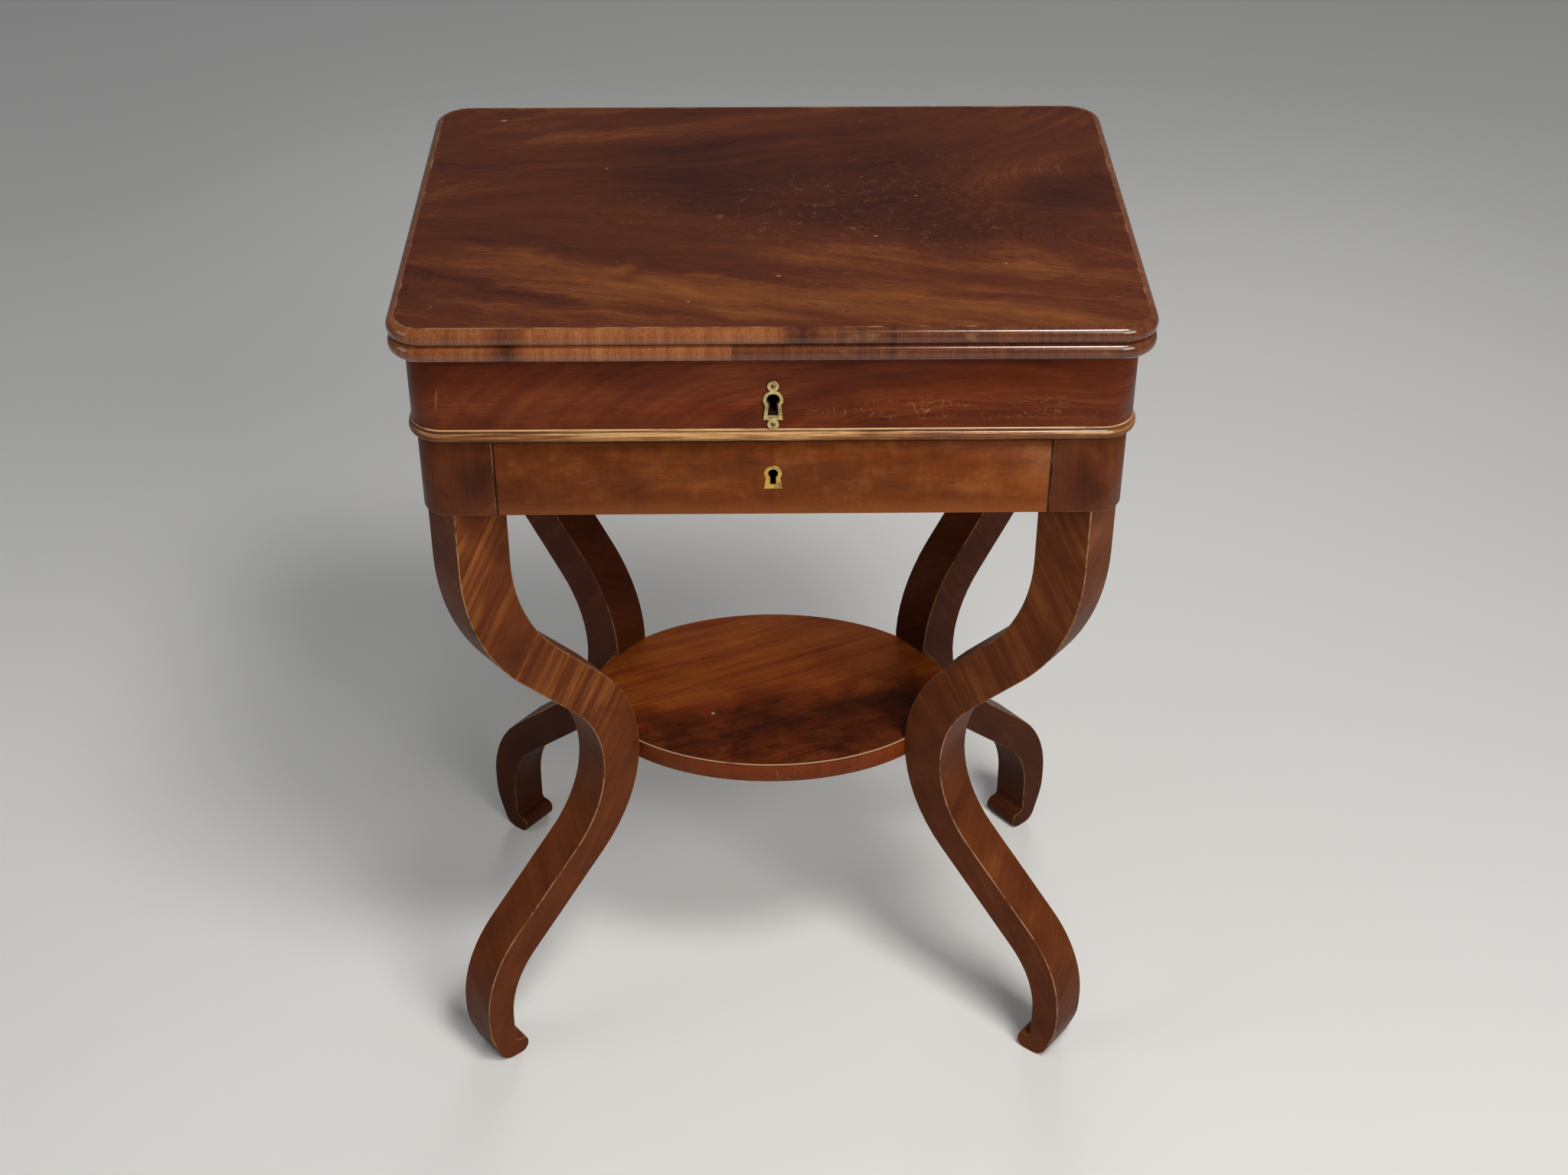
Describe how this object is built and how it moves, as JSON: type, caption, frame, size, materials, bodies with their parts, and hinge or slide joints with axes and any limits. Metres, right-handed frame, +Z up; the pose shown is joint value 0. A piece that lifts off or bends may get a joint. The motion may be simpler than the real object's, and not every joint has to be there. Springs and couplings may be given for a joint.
{
  "type": "writing table",
  "caption": "Small mahogany writing table with a swivelling fold-over top over a well, a locking drawer, scrolled S-shaped legs and an oval shelf.",
  "frame": {"origin": "on the floor, under the middle of the case", "axes": "+Z up, +X to the right and +Y to the back, with the drawer and keyholes facing -Y"},
  "size_m": [0.545, 0.3895, 0.74],
  "materials": {
    "mahogany_top": "old polish, half gloss",
    "mahogany_veneer": "old polish, half gloss",
    "mahogany_leg": "old polish, worn arrises",
    "carcase_wood": "bare, aged",
    "writing_lining": "dull",
    "brass": "worn",
    "iron": "dark, dull"
  },
  "bodies": {
    "case": {"back_rail": "mahogany_veneer", "bead_back": "mahogany_veneer", "bead_front": "mahogany_veneer", "bead_left": "mahogany_veneer", "bead_right": "mahogany_veneer", "corner_block_back_left": "mahogany_veneer", "corner_block_back_right": "mahogany_veneer", "corner_block_front_left": "mahogany_veneer", "corner_block_front_right": "mahogany_veneer", "drawer_guide_left": "carcase_wood", "drawer_guide_right": "carcase_wood", "drawer_runner_left": "carcase_wood", "drawer_runner_right": "carcase_wood", "drawer_stop": "carcase_wood", "escutcheon_pin_foot": "brass", "escutcheon_pin_top": "brass", "front_rail": "carcase_wood", "leg_back_left": "mahogany_leg", "leg_back_right": "mahogany_leg", "leg_front_left": "mahogany_leg", "leg_front_right": "mahogany_leg", "oval_shelf": "mahogany_leg", "pivot_bearer": "carcase_wood", "shelf_dowel_back_left": "carcase_wood", "shelf_dowel_back_right": "carcase_wood", "shelf_dowel_front_left": "carcase_wood", "shelf_dowel_front_right": "carcase_wood", "side_rail_left": "mahogany_veneer", "side_rail_right": "mahogany_veneer", "top_lock_bolt": "iron", "top_lock_case": "iron", "upper_escutcheon": "brass", "upper_frieze_back": "mahogany_veneer", "upper_frieze_front": "mahogany_veneer", "upper_frieze_left": "mahogany_veneer", "upper_frieze_right": "mahogany_veneer", "well_floor": "carcase_wood"},
    "lower_leaf": {"lower_leaf": "mahogany_top", "lower_lining": "writing_lining", "pivot_pin": "iron", "pivot_washer": "iron", "pivot_nut": "iron", "top_lock_strike": "brass", "hinge_left_lower_plate": "brass", "hinge_left_pin": "brass", "hinge_right_lower_plate": "brass", "hinge_right_pin": "brass"},
    "upper_leaf": {"upper_leaf": "mahogany_top", "upper_lining": "writing_lining", "hinge_left_upper_plate": "brass", "hinge_right_upper_plate": "brass"},
    "drawer": {"drawer_front": "mahogany_veneer", "drawer_side_left": "carcase_wood", "drawer_side_right": "carcase_wood", "drawer_back": "carcase_wood", "drawer_bottom": "carcase_wood", "drawer_lock_case": "iron", "drawer_escutcheon": "brass"},
    "drawer_bolt": {"drawer_lock_bolt": "iron"}
  },
  "joints": [
    {"name": "top_swivel", "type": "hinge", "parent": "case", "child": "lower_leaf", "pos_m": [0.09675, 0.09675, 0.714], "axis": [0, 0, 1], "range_deg": [0, 90]},
    {"name": "leaf_fold", "type": "hinge", "parent": "lower_leaf", "child": "upper_leaf", "pos_m": [0, 0.1935, 0.727], "axis": [-1, 0, 0], "range_deg": [0, 180]},
    {"name": "drawer_slide", "type": "slide", "parent": "case", "child": "drawer", "axis": [0, -1, 0], "range_m": [0, 0.24]},
    {"name": "drawer_bolt_throw", "type": "slide", "parent": "drawer", "child": "drawer_bolt", "axis": [0, 0, 1], "range_m": [0, 0.006]}
  ]
}
